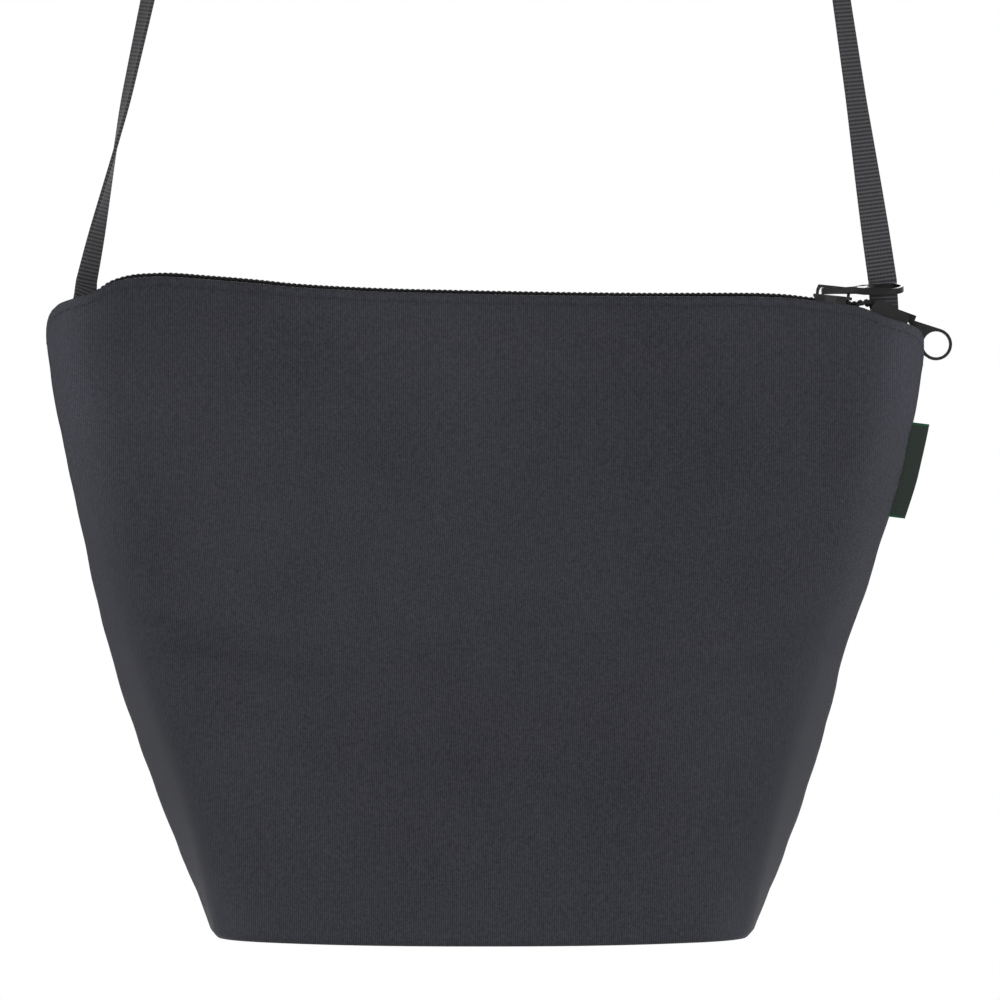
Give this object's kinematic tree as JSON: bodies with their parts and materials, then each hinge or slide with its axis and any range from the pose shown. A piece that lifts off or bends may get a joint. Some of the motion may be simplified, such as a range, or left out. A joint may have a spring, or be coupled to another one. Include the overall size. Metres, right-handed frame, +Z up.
{
  "type": "zip-top shoulder bag",
  "caption": "Flat-topped nylon shoulder bag with boxed base, zip with ring pulls, side label and a long narrow webbing strap.",
  "frame": {"origin": "top of the strap, where it runs over the hook or shoulder that holds the bag", "axes": "+Z up, +X to the right as seen from the front, front of the bag faces -Y"},
  "size_m": [0.3022, 0.076, 0.9108],
  "materials": {
    "nylon": "charcoal ribbed nylon, matte with a soft sheen",
    "webbing": "brown-black ribbed webbing",
    "binding": "black binding tape",
    "zip_tape": "black woven tape",
    "zip_coil": "black nylon coil",
    "slider_metal": "black gloss lacquer",
    "label": "bare dark green-black woven label"
  },
  "bodies": {
    "root": {"front_panel": "nylon", "back_panel": "nylon", "seam_binding_left": "binding", "seam_binding_right": "binding", "seam_binding_base": "binding", "zip_tape_front": "zip_tape", "zip_tape_back": "zip_tape", "zip_teeth_front": "zip_coil", "zip_teeth_back": "zip_coil", "strap": "webbing", "side_label": "label"},
    "left_slider": {"left_slider_body": "slider_metal"},
    "left_pull": {"left_pull": "slider_metal"},
    "right_slider": {"right_slider_body": "slider_metal"},
    "right_pull": {"right_pull": "slider_metal"}
  },
  "joints": [
    {"name": "left_slider_slide", "type": "slide", "parent": "root", "child": "left_slider", "axis": [0.9992, 0, -0.0392], "range_m": [-0.226, 0], "deforming": ["zip_teeth_front", "zip_teeth_back"]},
    {"name": "left_pull_swing", "type": "hinge", "parent": "left_slider", "child": "left_pull", "pos_m": [0.08865, 0, -0.69372], "axis": [0, -1, 0], "range_deg": [0, 135]},
    {"name": "right_slider_slide", "type": "slide", "parent": "root", "child": "right_slider", "axis": [-0.9397, 0, 0.342], "range_m": [0, 0.003], "deforming": ["zip_tape_front", "zip_tape_back"]},
    {"name": "right_pull_swing", "type": "hinge", "parent": "right_slider", "child": "right_pull", "pos_m": [0.10737, 0.003, -0.70148], "axis": [0.4695, 0, 0.8829], "range_deg": [0, 7]}
  ]
}
